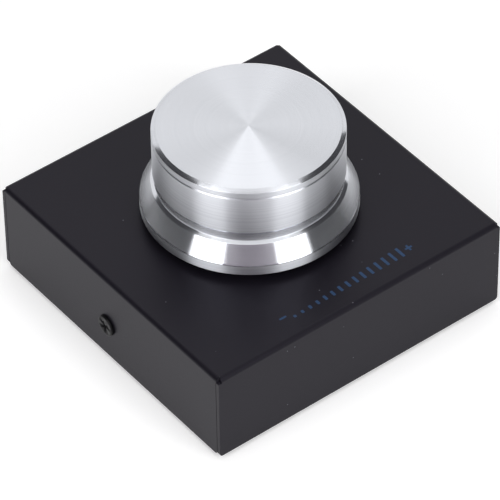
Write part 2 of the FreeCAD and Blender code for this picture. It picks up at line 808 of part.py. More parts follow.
def make_encoder_rotor():
    body = new_body("encoder_rotor")
    pad(body, circle(sketch_on(body, "XY", up=rotorFoot), "rotorRadius"), "rotorHeight")
    # the hole drives the flats at the shaft's lower end
    round_hole = "(driveEndRadius + shaftFit)"
    flat = "(driveFlatWidth / 2 + shaftFit)"
    reach = f"sqrt({round_hole} ^ 2 - {flat} ^ 2)"
    hole = [
        (reach, f"-{flat}", round_hole),
        (reach, flat),
        (f"-{reach}", flat, round_hole),
        (f"-{reach}", f"-{flat}"),
    ]
    pocket(body, outline(sketch_on(body, "XY", up=f"{rotorFoot} + rotorHeight"), hole))
    # a ring of right-angled detent grooves in the upper face, each drawn up to as far above
    # the face as it is deep below
    face = f"({rotorFoot} + rotorHeight)"
    dip = sketch_on(body, "YZ", up="rotorRadius - detentLength")
    corners = [
        ("0", f"{face} - detentDepth"),
        ("detentDepth * 2", f"{face} + detentDepth"),
        ("-detentDepth * 2", f"{face} + detentDepth"),
    ]
    first = pocket(body, outline(dip, corners), f"detentLength + {beyond}", reverse=True)
    repeat_round(body, [first], "detentCount")


def make_detent_spring():
    body = new_body("detent_spring")
    outer = "(rotorPocketRadius - rotorGap)"
    foot = f"({housingTop} - springThickness)"
    ring = circle(sketch_on(body, "XY", up=foot), outer)
    circle(ring, f"{outer} - springWidth")
    pad(body, ring, "springThickness")
    # two bumps, opposite each other, that drop into the rotor's grooves
    bump = sketch_on(body, "YZ", up=f"{outer} - bumpInset - bumpLength")
    high = f"({foot} + bumpOverlap)"
    low = f"({foot} - bumpDrop)"
    outline(bump, [("-bumpRoot", high), ("-bumpCrown", low), ("bumpCrown", low), ("bumpRoot", high)])
    first = pad(body, bump, "bumpLength")
    repeat_round(body, [first], "2")


def make_encoder_pins():
    line = "(encoderDepth / 2 + pinStandOff)"
    level = f"({boardTop} + pinShoulder)"
    groups = {"encoder_pins": pin_places(line)[:3], "switch_pins": pin_places(line)[3:]}
    for name, places in groups.items():
        pins = []
        for x, y in places:
            side = -1 if y.startswith("-") else 1
            body = doc.addObject("PartDesign::Body", "pin")
            face = f"{side} * encoderDepth / 2"
            far = f"{side} * ({line} + pinThickness / 2)"
            near = f"{side} * ({line} - pinThickness / 2)"
            section = [
                (face, level),
                (far, level),
                (far, f"{boardTop} - pinReach"),
                (near, f"{boardTop} - pinReach"),
                (near, f"{level} - pinThickness"),
                (face, f"{level} - pinThickness"),
            ]
            pad(body, outline(sketch_on(body, "YZ"), section), "pinWidth", midplane=True)
            place(body, x)
            pins.append(body)
        group(name, pins)


def make_encoder_shaft():
    body = new_body("encoder_shaft")
    top = f"({ceiling} + shaftLength)"
    collar_top = f"({shaftCollarFoot} + shaftCollarHeight)"
    profile = [
        ("0", driveFoot),
        ("driveEndRadius", driveFoot),
        ("driveEndRadius", shaftCollarFoot),
        ("shaftCollarRadius", shaftCollarFoot),
        ("shaftCollarRadius", collar_top),
        ("shaftRadius", collar_top),
        ("shaftRadius", top),
        ("0", top),
    ]
    revolve(body, outline(sketch_on(body, "XZ"), profile))
    # the flat for the knob's grub screw faces the rear
    flat = sketch_on(body, "XY", up=top)
    rectangle(flat, f"(shaftRadius + {beyond})", "shaftRadius / 2", y="(shaftFlat + shaftRadius / 2)")
    pocket(body, flat, "shaftFlatLength")
    # two flats at the lower end drive the rotor
    ends = sketch_on(body, "XY", up=driveFoot)
    rectangle(ends, "shaftRadius", "driveEndRadius / 2", y="(driveFlatWidth / 2 + driveEndRadius / 2)")
    mirror(body, [pocket(body, ends, "driveEndLength", reverse=True)], "XZ")


def make_push_switch():
    body = new_body("switch_plunger")
    stem_top = f"({driveFoot} - touchGap)"
    flange_foot = f"({domeTop} + touchGap)"
    profile = [
        ("0", flange_foot),
        ("plungerRadius", flange_foot),
        ("plungerRadius", f"{flange_foot} + plungerFlange"),
        ("stemRadius", f"{flange_foot} + plungerFlange"),
        ("stemRadius", stem_top),
        ("0", stem_top),
    ]
    revolve(body, outline(sketch_on(body, "XZ"), profile))
    body = new_body("switch_dome")
    section = [
        ("domeRadius - domeThickness * 2", switchPlateTop),
        ("domeRadius", switchPlateTop),
        ("domeCrownRadius", domeTop),
        ("0", domeTop),
        ("0", f"{domeTop} - domeThickness"),
        ("domeCrownRadius - domeThickness", f"{domeTop} - domeThickness"),
    ]
    revolve(body, outline(sketch_on(body, "XZ"), section))


def make_washer_and_nut():
    body = new_body("bushing_washer")
    ring = circle(sketch_on(body, "XY", up=coverTop), "washerRadius")
    circle(ring, "bushingRadius + washerGap")
    pad(body, ring, "washerThickness")
    body = new_body("bushing_nut")
    nut = hexagon(sketch_on(body, "XY", up=nutFoot), "nutFlats")
    circle(nut, "bushingRadius + threadGap")
    pad(body, nut, "nutHeight")


def knob_profile():
    """Half of the knob's section, from its bore out to the rim and up to the flat top."""
    foot = knobFoot
    top = f"({foot} + knobHeight)"
    cut = f"({top} - upperGrooveDrop)"
    ledge = f"({foot} + ledgeHeight)"
    band = f"({foot} + bandFoot)"
    bore = "(shaftRadius + boreFit)"
    bore_top = f"({recessTop} + boreDepth)"
    return [
        (bore, recessTop),
        ("recessRadius", recessTop),
        ("recessRadius", foot),
        ("rimRadius", foot),
        ("rimRadius", f"{foot} + coneFoot"),
        ("ledgeRadius", ledge),
        ("neckRadius", ledge),
        ("neckRadius", f"{band} - neckStep"),
        ("knobRadius", band),
        ("knobRadius", f"{cut} - upperGrooveWidth / 2"),
        ("knobRadius - upperGrooveDepth", cut),
        ("knobRadius", f"{cut} + upperGrooveWidth / 2"),
        ("knobRadius", f"{top} - topBevelDrop"),
        ("knobRadius - topBevelWidth", top),
        ("0", top),
        ("0", bore_top),
        (bore, bore_top),
    ]


def make_knob():
    body = new_body("knob")
    revolve(body, outline(sketch_on(body, "XZ"), knob_profile()))
    # tapped hole for the grub screw, from the rear into the bore
    hole = circle(sketch_on(body, "XZ", y=f"{knobFoot} + grubHeight"), "grubRadius + grubGap")
    pocket(body, hole, "knobRadius * 2")
    body = new_body("knob_grub_screw")
    seat = f"({knobFoot} + grubHeight)"
    shank = circle(sketch_on(body, "XZ", y=seat, up="-shaftFlat"), "grubRadius")
    pad(body, shank, "grubLength", reverse=True)
    key = sketch_on(body, "XZ", y=seat, up="-(shaftFlat + grubLength)")
    pocket(body, hexagon(key, "grubKeyFlats"), "grubKeyDepth", reverse=True)


def check_and_write():
    """Stops if anything failed to build, then writes each sub-part to its own file."""
    doc.recompute()
    for thing in doc.Objects:
        if "Invalid" in thing.State or "Error" in thing.State:
            raise RuntimeError(f"{thing.Name} did not build: {thing.State}")
    os.makedirs("parts", exist_ok=True)
    for part in parts:
        if part.Shape.isNull() or not part.Shape.isValid():
            raise RuntimeError(f"{part.Label} has no valid shape")
        part.Shape.exportStep(f"parts/{part.Label}.step")
    print(len(parts), "sub-parts written")


make_top_cover()
make_base_plate()
make_feet()
make_cover_screws()
make_circuit_board()
make_board_spacers()
make_board_screws()
make_usb_socket()
make_board_parts()
make_encoder_bushing()
make_encoder_clip()
make_encoder_housing()
make_switch_plate()
make_encoder_rotor()
make_detent_spring()
make_encoder_pins()
make_encoder_shaft()
make_push_switch()
make_washer_and_nut()
make_knob()
check_and_write()
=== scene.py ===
# Looks of the USB volume control: a powder-coated folded steel box that carries a turned
# aluminium knob.  Lengths in the dictionaries are millimetres, angles are degrees.
import bmesh
import bpy
import json
import math
from mathutils import Matrix, Quaternion, Vector


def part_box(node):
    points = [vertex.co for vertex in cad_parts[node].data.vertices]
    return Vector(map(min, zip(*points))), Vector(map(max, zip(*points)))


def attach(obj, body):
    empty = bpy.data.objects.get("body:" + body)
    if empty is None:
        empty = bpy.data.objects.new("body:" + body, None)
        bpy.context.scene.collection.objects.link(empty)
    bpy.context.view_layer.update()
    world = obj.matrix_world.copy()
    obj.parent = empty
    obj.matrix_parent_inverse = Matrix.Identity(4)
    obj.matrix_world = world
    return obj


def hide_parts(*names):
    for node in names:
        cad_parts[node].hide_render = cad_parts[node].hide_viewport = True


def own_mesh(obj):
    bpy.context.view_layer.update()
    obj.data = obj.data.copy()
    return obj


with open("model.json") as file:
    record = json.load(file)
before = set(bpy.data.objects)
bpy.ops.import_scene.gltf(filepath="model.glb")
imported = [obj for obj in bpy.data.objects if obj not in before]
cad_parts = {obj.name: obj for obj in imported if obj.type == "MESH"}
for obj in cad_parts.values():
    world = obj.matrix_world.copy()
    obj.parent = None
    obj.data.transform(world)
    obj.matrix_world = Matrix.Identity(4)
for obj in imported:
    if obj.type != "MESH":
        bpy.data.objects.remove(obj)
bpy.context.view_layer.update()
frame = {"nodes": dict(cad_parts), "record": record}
nodes = frame["nodes"]
slotOf = {part["node"]: part["material_slot"] for part in frame["record"]["subparts"]}
print("frame loaded:", len(nodes), "nodes")

mm = 0.001
up = Vector((0, 0, 1))


def linear(hexCode):
    # sRGB hex to the linear colour that a shader socket takes
    channels = [int(hexCode[i:i + 2], 16) / 255 for i in (1, 3, 5)]
    return [c / 12.92 if c <= 0.04045 else ((c + 0.055) / 1.055) ** 2.4 for c in channels] + [1]


def addNode(tree, kind, settings=None, links=None):
    # settings are the node's properties or sockets, links lead from other nodes' outputs
    node = tree.nodes.new(kind)
    for name, value in (settings or {}).items():
        if isinstance(name, str) and hasattr(node, name):
            setattr(node, name, value)
        else:
            node.inputs[name].default_value = value
    for name, source in (links or {}).items():
        tree.links.new(source, node.inputs[name])
    return node


def newMaterial(name):
    material = bpy.data.materials.new(name)
    material.use_nodes = True
    material.node_tree.nodes.clear()
    return material, material.node_tree


def dress(obj, material):
    obj.data.materials.clear()
    obj.data.materials.append(material)


def direction(azimuth, elevation):
    # azimuth 0 is the front, at -Y, and turns towards +X
    a, e = math.radians(azimuth), math.radians(elevation)
    return Vector((math.sin(a) * math.cos(e), -math.cos(a) * math.cos(e), math.sin(e)))


def meshPiece(name, mesh):
    piece = bpy.data.objects.new(name, mesh)
    bpy.context.scene.collection.objects.link(piece)
    return piece


# camera, at the angle from which such a product is usually shown
cameraLook = {
    "aim": (2.97, 4.05, 6.76),
    "azimuth": -37.53,
    "elevation": 43.43,
    "distance": 1062.6,
    "roll": -0.89,
    "lens": 314.17,  # focal length
    "nearest": 50,
    "farthest": 30000,
}


def makeCamera(look):
    camera = bpy.data.objects.new("camera", bpy.data.cameras.new("camera"))
    camera.data.lens = look["lens"]
    camera.data.clip_start = look["nearest"] * mm
    camera.data.clip_end = look["farthest"] * mm
    toCamera = direction(look["azimuth"], look["elevation"])
    camera.location = (Vector(look["aim"]) + toCamera * look["distance"]) * mm
    facing = (-toCamera).to_track_quat("-Z", "Y")
    camera.rotation_mode = "QUATERNION"
    camera.rotation_quaternion = facing @ Quaternion((0, 0, 1), math.radians(look["roll"]))
    bpy.context.scene.collection.objects.link(camera)
    bpy.context.scene.camera = camera


makeCamera(cameraLook)
print("camera set")


# how the frame's facets become clean surfaces with rounded edges
edgeLook = {
    "weld": 0.002,  # corners that lie closer than this are one
    "flatWithin": 1,  # triangles this nearly in one plane are joined
    "sharpBeyond": 30,  # edges that turn by more than this are rounded
    "segments": 2,
    "flatWeight": 50,  # how strongly the large faces pull the shading flat
}


def softenEdges(obj, width, segments=edgeLook["segments"]):
    weld = obj.modifiers.new("weld", "WELD")
    weld.merge_threshold = edgeLook["weld"] * mm
    flat = obj.modifiers.new("flat", "DECIMATE")
    flat.decimate_type = "DISSOLVE"
    flat.angle_limit = math.radians(edgeLook["flatWithin"])
    edge = obj.modifiers.new("edge", "BEVEL")
    edge.width = width * mm
    edge.segments = segments
    edge.limit_method = "ANGLE"
    edge.angle_limit = math.radians(edgeLook["sharpBeyond"])
    even = obj.modifiers.new("even", "WEIGHTED_NORMAL")
    even.mode = "FACE_AREA"
    even.weight = edgeLook["flatWeight"]
    even.keep_sharp = False
    for polygon in obj.data.polygons:
        polygon.use_smooth = True


# powder coat: polyester powder baked on steel, satin and finely textured.  It is near black,
# so what the eye reads is the soft reflection of the room, broken up by a fine grain.
coverLook = {
    "color": "#110f15",
    "glossTint": "#efebff",  # the blue-black pigment shows in the reflection
    "speckColor": "#6e6e76",
    "roughness": 0.38,
    "roughnessSpread": 0.05,
    "index": 1.30,  # below polyester's own, as the texture swallows part of the reflection
    "grain": 0.30,
    "grainDepth": 0.006,
    "peel": 1.6,  # the slow waviness of a baked coat
    "peelDepth": 0.006,
    "speckSpacing": 3.4,
    "speckSize": 0.18,  # radius of a dust speck in the coat
    "speckCore": 0.5,  # share of that radius that has the full colour
    "speckShare": 0.45,  # share of the cells that hold a speck
    "edge": 0.2,  # radius of the coat over a cut edge
    "edgeSegments": 3,
}


def makePowderCoat(look):
    material, tree = newMaterial("powderCoatedSteel")
    place = addNode(tree, "ShaderNodeTexCoord").outputs["Object"]
    grain = addNode(
        tree,
        "ShaderNodeTexNoise",
        {"Scale": 1 / (look["grain"] * mm), "Detail": 2.0, "Roughness": 0.5},
        {"Vector": place},
    )
    peel = addNode(
        tree,
        "ShaderNodeTexNoise",
        {"Scale": 1 / (look["peel"] * mm), "Detail": 1.0},
        {"Vector": place},
    )
    spots = addNode(
        tree,
        "ShaderNodeTexVoronoi",
        {"feature": "F1", "Scale": 1 / (look["speckSpacing"] * mm), "Randomness": 1.0},
        {"Vector": place},
    )
    speckEdge = look["speckSize"] / look["speckSpacing"]
    near = addNode(
        tree,
        "ShaderNodeMapRange",
        {"From Min": speckEdge, "From Max": speckEdge * look["speckCore"]},
        {"Value": spots.outputs["Distance"]},
    )
    split = addNode(tree, "ShaderNodeSeparateColor", {}, {"Color": spots.outputs["Color"]})
    chosen = addNode(
        tree,
        "ShaderNodeMath",
        {"operation": "LESS_THAN", 1: look["speckShare"]},
        {0: split.outputs["Red"]},
    )
    speck = addNode(
        tree,
        "ShaderNodeMath",
        {"operation": "MULTIPLY"},
        {0: near.outputs["Result"], 1: chosen.outputs[0]},
    )
    tone = addNode(
        tree,
        "ShaderNodeMix",
        {"data_type": "RGBA", "A": linear(look["color"]), "B": linear(look["speckColor"])},
        {"Factor": speck.outputs[0]},
    )
    spread = look["roughnessSpread"]
    gloss = addNode(
        tree,
        "ShaderNodeMapRange",
        {"To Min": look["roughness"] - spread, "To Max": look["roughness"] + spread},
        {"Value": grain.outputs["Fac"]},
    )
    wave = addNode(
        tree,
        "ShaderNodeBump",
        {"Distance": look["peelDepth"] * mm, "Strength": 1.0},
        {"Height": peel.outputs["Fac"]},
    )
    relief = addNode(
        tree,
        "ShaderNodeBump",
        {"Distance": look["grainDepth"] * mm, "Strength": 1.0},
        {"Height": grain.outputs["Fac"], "Normal": wave.outputs["Normal"]},
    )
    shader = addNode(
        tree,
        "ShaderNodeBsdfPrincipled",
        {"IOR": look["index"], "Specular Tint": linear(look["glossTint"])},
        {
            "Base Color": tone.outputs["Result"],
            "Roughness": gloss.outputs["Result"],
            "Normal": relief.outputs["Normal"],
        },
    )
    addNode(tree, "ShaderNodeOutputMaterial", {}, {"Surface": shader.outputs[0]})
    return material


dress(nodes["top_cover"], makePowderCoat(coverLook))
softenEdges(nodes["top_cover"], coverLook["edge"], coverLook["edgeSegments"])
print("cover coated")


# tools for turned and cut pieces
def roundedOutline(corners, steps=5):
    # each corner is (radius, height, rounding); a rounding is an arc between its tangent points
    line = []
    for i, (r, z, rounding) in enumerate(corners):
        corner = Vector((r, z))
        if rounding == 0:
            line.append(corner)
            continue
        before = (Vector(corners[i - 1][:2]) - corner).normalized()
        after = (Vector(corners[i + 1][:2]) - corner).normalized()
        half = before.angle(after) / 2
        reach = rounding / math.tan(half)
        centre = corner + (before + after).normalized() * (rounding / math.sin(half))
        start = corner + before * reach - centre
        end = corner + after * reach - centre
        turn = start.angle(end)
        for k in range(steps + 1):
            share = k / steps
            mixed = start * math.sin((1 - share) * turn) + end * math.sin(share * turn)
            line.append(centre + mixed / math.sin(turn))
    return line


def turnedMesh(name, line, turns):
    # a lathe form about Z; a point of the line with no radius is one vertex on the axis
    mesh = bpy.data.meshes.new(name)
    form = bmesh.new()
    rings = []
    for point in line:
        if point.x == 0:
            rings.append([form.verts.new((0, 0, point.y * mm))])
            continue
        ring = []
        for k in range(turns):
            a = 2 * math.pi * k / turns
            x, y = point.x * mm * math.cos(a), point.x * mm * math.sin(a)
            ring.append(form.verts.new((x, y, point.y * mm)))
        rings.append(ring)
    for first, second in zip(rings, rings[1:]):
        for k in range(turns):
            n = (k + 1) % turns
            here = [first[k % len(first)], first[n % len(first)]]
            there = [second[n % len(second)], second[k % len(second)]]
            form.faces.new(list(dict.fromkeys(here + there)))  # three corners at the axis
    bmesh.ops.recalc_face_normals(form, faces=form.faces)
    form.to_mesh(mesh)
    form.free()
    for polygon in mesh.polygons:
        polygon.use_smooth = True
    return mesh


def prismMesh(name, outlines, low, high, foot=1.0):
    # each outline is a loop of (x, y); its lower end is drawn in to the share "foot"
    mesh = bpy.data.meshes.new(name)
    form = bmesh.new()
    for outline in outlines:
        bottom = [form.verts.new((x * foot * mm, y * foot * mm, low * mm)) for x, y in outline]
        top = [form.verts.new((x * mm, y * mm, high * mm)) for x, y in outline]
        form.faces.new(top)
        form.faces.new(bottom[::-1])
        for k in range(len(outline)):
            n = (k + 1) % len(outline)
            form.faces.new((bottom[k], bottom[n], top[n], top[k]))
    bmesh.ops.recalc_face_normals(form, faces=form.faces)
    form.to_mesh(mesh)
    form.free()
    return mesh


def crossOutline(reach, half, x=0.0, y=0.0):
    corner = [(reach, half), (half, half), (half, reach)]
    points = []
    for turn in range(4):
        c, s = math.cos(turn * math.pi / 2), math.sin(turn * math.pi / 2)
        points += [(x + px * c - py * s, y + px * s + py * c) for px, py in corner]
    return points


def cutAway(obj, cutter):
    # takes the cutter's form out of the object and throws the cutter away
    cut = obj.modifiers.new("cut", "BOOLEAN")
    cut.object = cutter
    cut.operation = "DIFFERENCE"
    cut.solver = "EXACT"
    depsgraph = bpy.context.evaluated_depsgraph_get()
    done = bpy.data.meshes.new_from_object(obj.evaluated_get(depsgraph))
    obj.modifiers.clear()
    obj.data = done
    bpy.data.objects.remove(cutter)


# knob: aluminium bar turned on a lathe and left bright.  The tool leaves fine rings, so a light
# is drawn out across them and stays sharp along them, and each cut has a gloss of its own.
knobLook = {
    "heights": {  # above the knob's foot, but for the two drops
        "coneFoot": 2.75,
        "ledge": 7.45,
        "bandFoot": 10.5,
        "grooveDrop": 2.5,  # below the top
        "bevelDrop": 0.7,  # below the top
        "recess": 6.5,
        "bore": 19.0,
        "grub": 13.5,
    },
    "radii": {
        "rim": 26.4,
        "lip": 23.62,
        "neck": 22.75,
        "band": 23.13,
        "bevel": 22.08,
        "recess": 21.0,
        "bore": 3.03,
        "grub": 2.04,
    },
    "rounds": {  # radius of each rounded corner of the outline
        "topEdge": 0.04,
        "bevelFoot": 0.06,
        "groove": 0.05,
        "bandFoot": 0.12,
        "neckTop": 0.1,
        "neckFoot": 0.08,
        "lip": 0.1,
        "coneFoot": 0.12,
        "rimFoot": 0.15,
        "recess": 1.0,
        "boreMouth": 0.2,
    },
    "neckStep": 0.7,
    "lipHalf": 0.27,  # half the height of the sloping lip at the ledge
    "grooveWidth": 0.6,
    "grooveDepth": 0.3,
    "turns": 288,
    "holeTurns": 48,
    "color": "#dddfe4",
    "ringColor": "#d1d3d9",
    "markColor": "#b9bbc2",
    "mark": 0.4,  # spacing of the tool marks on the sides, coarser than the feed so that they show
    "markLevels": (0.45, 0.7),  # of the pattern, between which a mark grows to its full strength
    "markShare": 0.35,
    "roughness": 0.34,
    "roughnessSpread": 0.02,
    "topRoughness": 0.22,
    "topDepth": 0.02,  # what is no deeper than this below the top belongs to the flat top
    # cuts with a gloss of their own: beyond this radius, between these heights above the foot
    "cuts": {
        "bevel": {"beyond": 22.1, "from": 22.92, "to": 23.6, "roughness": 0.13},
        "groove": {"beyond": 22.7, "from": 20.75, "to": 21.45, "roughness": 0.34},
        "bandFoot": {"beyond": 22.74, "from": 9.82, "to": 10.48, "roughness": 0.10},
        "neck": {"beyond": 22.5, "from": 7.76, "to": 9.82, "roughness": 0.24},
        "lip": {"beyond": 22.76, "from": 7.16, "to": 7.76, "roughness": 0.10},
        "cone": {"beyond": 23.0, "from": 2.95, "to": 7.16, "roughness": 0.21},
        "rimEdge": {"beyond": 26.2, "from": 2.6, "to": 2.95, "roughness": 0.12},
        "rim": {"beyond": 26.2, "from": 0.1, "to": 2.6, "roughness": 0.38},
    },
    "anisotropy": 1.0,
    "anisotropyTurn": 0.25,  # a quarter turn, from along the rings to across them
    "ring": 0.2,  # ring spacing, coarser than the tool's feed so that it shows
    "ringDepth": 0.0006,
    "crown": 0.085,  # how much the top's rings lean outwards, as a slope
}


def makeKnob(look):
    foot, top = [corner.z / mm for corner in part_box("knob")]
    h, r, soft = look["heights"], look["radii"], look["rounds"]
    groove = top - h["grooveDrop"]
    ledge, band = foot + h["ledge"], foot + h["bandFoot"]
    halfGroove = look["grooveWidth"] / 2
    corners = [
        (0, top, 0),
        (r["bevel"], top, soft["topEdge"]),
        (r["band"], top - h["bevelDrop"], soft["bevelFoot"]),
        (r["band"], groove + halfGroove, soft["groove"]),
        (r["band"] - look["grooveDepth"], groove, soft["groove"]),
        (r["band"], groove - halfGroove, soft["groove"]),
        (r["band"], band, soft["bandFoot"]),
        (r["neck"], band - look["neckStep"], soft["neckTop"]),
        (r["neck"], ledge + look["lipHalf"], soft["neckFoot"]),
        (r["lip"], ledge - look["lipHalf"], soft["lip"]),
        (r["rim"], foot + h["coneFoot"], soft["coneFoot"]),
        (r["rim"], foot, soft["rimFoot"]),
        (r["recess"], foot, soft["rimFoot"]),
        (r["recess"], foot + h["recess"], soft["recess"]),
        (r["bore"], foot + h["recess"], soft["boreMouth"]),
        (r["bore"], foot + h["bore"], 0),
        (0, foot + h["bore"], 0),
    ]
    line = roundedOutline(corners)
    knob = meshPiece("turned_knob", turnedMesh("turned_knob", line, look["turns"]))
    # tapped hole for the grub screw, from the rear to the bore
    holeLine = [
        Vector(point) for point in ((0, 0), (r["grub"], 0), (r["grub"], r["rim"]), (0, r["rim"]))
    ]
    hole = turnedMesh("grub_hole_cutter", holeLine, look["holeTurns"])
    lift = Matrix.Translation((0, 0, (foot + h["grub"]) * mm))
    hole.transform(lift @ Matrix.Rotation(-math.pi / 2, 4, "X"))
    cutAway(knob, meshPiece("grub_hole_cutter", hole))
    return knob


def aboutAxis(tree, place):
    # distance from Z and height; a pattern of these two alone runs round the piece as rings
    axes = addNode(tree, "ShaderNodeSeparateXYZ", {}, {"Vector": place})
    across = addNode(
        tree, "ShaderNodeCombineXYZ", {}, {"X": axes.outputs["X"], "Y": axes.outputs["Y"]}
    )
    radius = addNode(
        tree, "ShaderNodeVectorMath", {"operation": "LENGTH"}, {0: across.outputs[0]}
    )
    return radius.outputs["Value"], axes.outputs["Z"]


def makeTurnedAluminium(look, footHeight, topHeight):
    material, tree = newMaterial("turnedAluminium")
    radius, height = aboutAxis(tree, addNode(tree, "ShaderNodeTexCoord").outputs["Object"])
    section = addNode(tree, "ShaderNodeCombineXYZ", {}, {"X": radius, "Y": height})
    rings = addNode(
        tree,
        "ShaderNodeTexNoise",
        {"Scale": 1 / (look["ring"] * mm), "Detail": 3.0, "Roughness": 0.7},
        {"Vector": section.outputs[0]},
    )
    tone = addNode(
        tree,
        "ShaderNodeMix",
        {"data_type": "RGBA", "A": linear(look["color"]), "B": linear(look["ringColor"])},
        {"Factor": rings.outputs["Fac"]},
    )
    # broader tool marks, on the sides alone
    marks = addNode(
        tree,
        "ShaderNodeTexNoise",
        {"Scale": 1 / (look["mark"] * mm), "Detail": 2.0, "Roughness": 0.6},
        {"Vector": section.outputs[0]},
    )
    faint, full = look["markLevels"]
    marked = addNode(
        tree,
        "ShaderNodeMapRange",
        {"From Min": faint, "From Max": full, "To Max": look["markShare"]},
        {"Value": marks.outputs["Fac"]},
    )
    flatTop = topHeight - look["topDepth"] * mm
    onSides = addNode(
        tree, "ShaderNodeMath", {"operation": "LESS_THAN", 1: flatTop}, {0: height}
    )
    markFactor = addNode(
        tree,
        "ShaderNodeMath",
        {"operation": "MULTIPLY"},
        {0: marked.outputs["Result"], 1: onSides.outputs[0]},
    )
    tone = addNode(
        tree,
        "ShaderNodeMix",
        {"data_type": "RGBA", "B": linear(look["markColor"])},
        {"Factor": markFactor.outputs[0], "A": tone.outputs["Result"]},
    )
    spread = look["roughnessSpread"]
    turned = addNode(
        tree,
        "ShaderNodeMapRange",
        {"To Min": look["roughness"] - spread, "To Max": look["roughness"] + spread},
        {"Value": rings.outputs["Fac"]},
    )
    # the flat top is faced with a finer feed than the sides
    onTop = addNode(
        tree, "ShaderNodeMath", {"operation": "GREATER_THAN", 1: flatTop}, {0: height}
    )
    faced = addNode(
        tree,
        "ShaderNodeMix",
        {"data_type": "FLOAT", "B": look["topRoughness"]},
        {"Factor": onTop.outputs[0], "A": turned.outputs["Result"]},
    )
    gloss = faced.outputs["Result"]
    for cut in look["cuts"].values():
        middle, reach = (cut["from"] + cut["to"]) / 2, (cut["to"] - cut["from"]) / 2
        outside = addNode(
            tree,
            "ShaderNodeMath",
            {"operation": "GREATER_THAN", 1: cut["beyond"] * mm},
            {0: radius},
        )
        within = addNode(
            tree,
            "ShaderNodeMath",
            {"operation": "COMPARE", 1: footHeight + middle * mm, 2: reach * mm},
            {0: height},
        )
        both = addNode(
            tree,
            "ShaderNodeMath",
            {"operation": "MULTIPLY"},
            {0: outside.outputs[0], 1: within.outputs[0]},
        )
        gloss = addNode(
            tree,
            "ShaderNodeMix",
            {"data_type": "FLOAT", "B": cut["roughness"]},
            {"Factor": both.outputs[0], "A": gloss},
        ).outputs["Result"]
    # on the flat top each ring leans outwards a little
    lean = addNode(
        tree, "ShaderNodeMath", {"operation": "MULTIPLY", 1: -look["crown"]}, {0: radius}
    )
    leanTop = addNode(
        tree,
        "ShaderNodeMath",
        {"operation": "MULTIPLY"},
        {0: lean.outputs[0], 1: onTop.outputs[0]},
    )
    cone = addNode(
        tree,
        "ShaderNodeBump",
        {"Distance": 1.0, "Strength": 1.0},
        {"Height": leanTop.outputs[0]},
    )
    relief = addNode(
        tree,
        "ShaderNodeBump",
        {"Distance": look["ringDepth"] * mm, "Strength": 1.0},
        {"Height": rings.outputs["Fac"], "Normal": cone.outputs["Normal"]},
    )
    around = addNode(tree, "ShaderNodeTangent", {"direction_type": "RADIAL", "axis": "Z"})
    shader = addNode(
        tree,
        "ShaderNodeBsdfPrincipled",
        {
            "Metallic": 1.0,
            "Anisotropic": look["anisotropy"],
            "Anisotropic Rotation": look["anisotropyTurn"],
        },
        {
            "Base Color": tone.outputs["Result"],
            "Roughness": gloss,
            "Normal": relief.outputs["Normal"],
            "Tangent": around.outputs["Tangent"],
        },
    )
    addNode(tree, "ShaderNodeOutputMaterial", {}, {"Surface": shader.outputs[0]})
    return material


knob = makeKnob(knobLook)
knobFoot, knobTop = [corner.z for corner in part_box("knob")]
dress(knob, makeTurnedAluminium(knobLook, knobFoot, knobTop))
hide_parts("knob")
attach(knob, "turning_knob")
print("knob turned")

# cover screws: M3 with a low flat head and a cross recess, cold-headed steel, zinc plated and
# passivated black, which gives a satin black with a slightly brighter rounded edge
screwLook = {
    "headRadius": 2.8,
    "headHeight": 0.75,
    "headEdge": 0.34,
    "underEdge": 0.04,
    "shankRadius": 1.45,
    "length": 6.0,
    "tipChamfer": 0.4,
    "driveReach": 1.45,
    "driveHalfSlot": 0.34,
    "driveDepth": 1.05,
    "driveFoot": 0.6,  # width of the recess at its floor, as a share of that at its mouth
    "driveTurn": 27,
    "cutterLift": 0.05,  # how far the recess's cutter stands out of the head
    "seat": 42.5,  # from the middle to the outside of the wall
    "offset": 1.0,  # along the wall, from its middle towards the rear
    "height": 11.5,
    "turns": 72,
}


def makeCoverScrew(name, side, look):
    head, shank, tip = look["headHeight"], look["shankRadius"], -look["length"]
    corners = [
        (0, head, 0),
        (look["headRadius"], head, look["headEdge"]),
        (look["headRadius"], 0, look["underEdge"]),
        (shank, 0, look["underEdge"]),
        (shank, tip + look["tipChamfer"], 0),
        (shank - look["tipChamfer"], tip, 0),
        (0, tip, 0),
    ]
    screw = meshPiece(name, turnedMesh(name, roundedOutline(corners), look["turns"]))
    drive = prismMesh(
        "drive_cutter",
        [crossOutline(look["driveReach"], look["driveHalfSlot"])],
        head - look["driveDepth"],
        head + look["cutterLift"],
        look["driveFoot"],
    )
    drive.transform(Matrix.Rotation(math.radians(look["driveTurn"]), 4, "Z"))
    cutAway(screw, meshPiece("drive_cutter", drive))
    outward = Matrix.Rotation(side * math.pi / 2, 4, "Y")
    place = Vector((side * look["seat"], look["offset"], look["height"])) * mm
    screw.data.transform(Matrix.Translation(place) @ outward)
    even = screw.modifiers.new("even", "WEIGHTED_NORMAL")
    even.keep_sharp = False
    return screw


